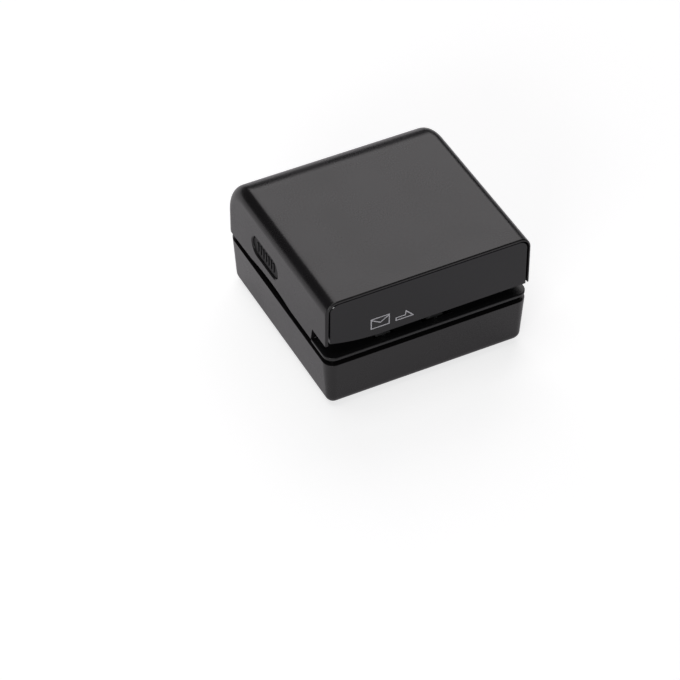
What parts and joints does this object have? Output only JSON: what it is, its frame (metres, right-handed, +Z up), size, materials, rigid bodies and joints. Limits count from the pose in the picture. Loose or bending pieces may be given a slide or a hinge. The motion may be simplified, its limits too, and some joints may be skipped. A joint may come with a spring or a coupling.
{
  "type": "electric letter opener",
  "caption": "Battery-powered desktop letter opener: drafted tub, hinged hood with a push latch, fixed front panel over a side-to-side slot, geared rollers and round knives.",
  "frame": {"origin": "middle of the outline on the surface that the feet stand on", "axes": "+X to the right along the front, +Y to the back, +Z up"},
  "size_m": [0.101, 0.1032, 0.062],
  "materials": {
    "casing": "satin-gloss moulded black",
    "panel": "glossy moulded black",
    "deck": "matt moulded black",
    "button": "glossy black with raised ribs",
    "rubber": "matt dark rubber",
    "steel_plate": "zinc-plated sheet",
    "bright_steel": "ground steel",
    "blade_steel": "hardened, polished edge",
    "screw_zinc": "bright zinc",
    "spring_steel": "nickel-plated",
    "brass": "sintered brass",
    "nylon": "natural nylon",
    "motor_can": "drawn zinc-plated steel",
    "motor_cap": "white plastic",
    "cell_wrap": "plain dark sleeve",
    "board": "green circuit board",
    "board_parts": "dark component cases"
  },
  "bodies": {
    "root": {"base_tub": "casing", "base_deck": "deck", "rubber_feet": "rubber", "case_screws": "screw_zinc", "battery_cells": "cell_wrap", "battery_contacts_front": "spring_steel", "battery_contacts_rear": "spring_steel", "front_panel": "panel", "panel_screws": "screw_zinc", "hinge_pins": "bright_steel", "latch_catch": "deck", "chassis_front_plate": "steel_plate", "chassis_rear_plate": "steel_plate", "chassis_spacers": "bright_steel", "spacer_screws": "screw_zinc", "chassis_screws": "screw_zinc", "front_bushes": "brass", "rear_bushes": "brass", "gear_axles": "bright_steel", "motor_can": "motor_can", "motor_end_cap": "motor_cap", "motor_terminals": "brass", "motor_screws": "screw_zinc", "rocker_pins": "bright_steel", "rocker_springs": "spring_steel", "trip_switch": "motor_cap", "control_board": "board", "board_parts": "board_parts"},
    "cover": {"top_cover": "casing", "latch_retainer": "deck", "latch_screws": "screw_zinc", "latch_spring": "spring_steel"},
    "latch": {"latch_button": "button"},
    "battery_door": {"battery_door": "deck"},
    "knife_spindle": {"knife_shaft": "bright_steel", "exit_roller_tyre": "rubber", "exit_roller_hub": "nylon", "knife_collars": "nylon", "upper_knife": "blade_steel", "knife_gear": "nylon", "drive_gear": "nylon"},
    "lower_spindle": {"lower_knife_shaft": "bright_steel", "lower_knife": "blade_steel", "lower_knife_nut": "screw_zinc", "lower_knife_gear": "nylon"},
    "feed_spindle": {"feed_shaft": "bright_steel", "feed_roller_tyre": "rubber", "feed_roller_hub": "nylon", "feed_gear": "nylon"},
    "idler_wheel": {"idler_gear": "nylon"},
    "compound_wheel": {"compound_gear": "nylon"},
    "motor_rotor": {"motor_shaft": "bright_steel", "motor_pinion": "brass"},
    "rocker_in": {"rocker_in": "steel_plate", "idler_axle_in": "bright_steel"},
    "rocker_out": {"rocker_out": "steel_plate", "idler_axle_out": "bright_steel"},
    "lower_roller_in": {"idler_roller_in": "rubber"},
    "lower_roller_out": {"idler_roller_out": "rubber"},
    "trip_lever": {"trip_lever": "motor_cap"}
  },
  "joints": [
    {"name": "cover_hinge", "type": "hinge", "parent": "root", "child": "cover", "pos_m": [0, 0.0473, 0.031], "axis": [-1, 0, 0], "range_deg": [0, 75]},
    {"name": "latch_press", "type": "slide", "parent": "cover", "child": "latch", "axis": [1, 0, 0], "range_m": [0, 0.002], "stiffness_N_per_m": 250, "springref_m": -0.001, "deforming": ["latch_spring"]},
    {"name": "battery_door_hinge", "type": "hinge", "parent": "root", "child": "battery_door", "pos_m": [0, 0.0353, 0.0019], "axis": [1, 0, 0], "range_deg": [0, 80]},
    {"name": "knife_spin", "type": "hinge", "parent": "root", "child": "knife_spindle", "pos_m": [0.006, -0.0316, 0.0404], "axis": [0, 1, 0], "continuous": true},
    {"name": "lower_knife_spin", "type": "hinge", "parent": "root", "child": "lower_spindle", "pos_m": [0.006, -0.0316, 0.0243], "axis": [0, 1, 0], "continuous": true},
    {"name": "feed_spin", "type": "hinge", "parent": "root", "child": "feed_spindle", "pos_m": [-0.02, -0.0316, 0.0404], "axis": [0, 1, 0], "continuous": true},
    {"name": "idler_spin", "type": "hinge", "parent": "root", "child": "idler_wheel", "pos_m": [-0.007, -0.0316, 0.04671], "axis": [0, 1, 0], "continuous": true},
    {"name": "compound_spin", "type": "hinge", "parent": "root", "child": "compound_wheel", "pos_m": [0.01886, -0.0316, 0.047], "axis": [0, 1, 0], "continuous": true},
    {"name": "motor_spin", "type": "hinge", "parent": "root", "child": "motor_rotor", "pos_m": [0.02952, -0.0316, 0.0414], "axis": [0, 1, 0], "continuous": true},
    {"name": "rocker_in_tilt", "type": "hinge", "parent": "root", "child": "rocker_in", "pos_m": [-0.011, -0.0463, 0.025], "axis": [0, 1, 0], "range_deg": [-8, 0], "stiffness_Nm_per_rad": 0.05, "springref_deg": 11.46},
    {"name": "rocker_out_tilt", "type": "hinge", "parent": "root", "child": "rocker_out", "pos_m": [0.015, -0.0463, 0.025], "axis": [0, 1, 0], "range_deg": [-8, 0], "stiffness_Nm_per_rad": 0.05, "springref_deg": 11.46},
    {"name": "lower_roller_in_spin", "type": "hinge", "parent": "rocker_in", "child": "lower_roller_in", "pos_m": [-0.02, -0.0316, 0.028], "axis": [0, 1, 0], "continuous": true},
    {"name": "lower_roller_out_spin", "type": "hinge", "parent": "rocker_out", "child": "lower_roller_out", "pos_m": [0.006, -0.0316, 0.028], "axis": [0, 1, 0], "continuous": true},
    {"name": "trip_lever_swing", "type": "hinge", "parent": "root", "child": "trip_lever", "pos_m": [-0.0415, -0.0306, 0.041], "axis": [1, 0, 0], "range_deg": [0, 16], "stiffness_Nm_per_rad": 0.002, "springref_deg": -17.19}
  ],
  "couplings": [
    {"joint": "lower_knife_spin", "follows": "knife_spin", "ratio": -1},
    {"joint": "idler_spin", "follows": "knife_spin", "ratio": -1.25},
    {"joint": "feed_spin", "follows": "knife_spin", "ratio": 1},
    {"joint": "compound_spin", "follows": "knife_spin", "ratio": -3},
    {"joint": "motor_spin", "follows": "knife_spin", "ratio": 9},
    {"joint": "lower_roller_in_spin", "follows": "knife_spin", "ratio": -1.9048},
    {"joint": "lower_roller_out_spin", "follows": "knife_spin", "ratio": -1.9048}
  ]
}
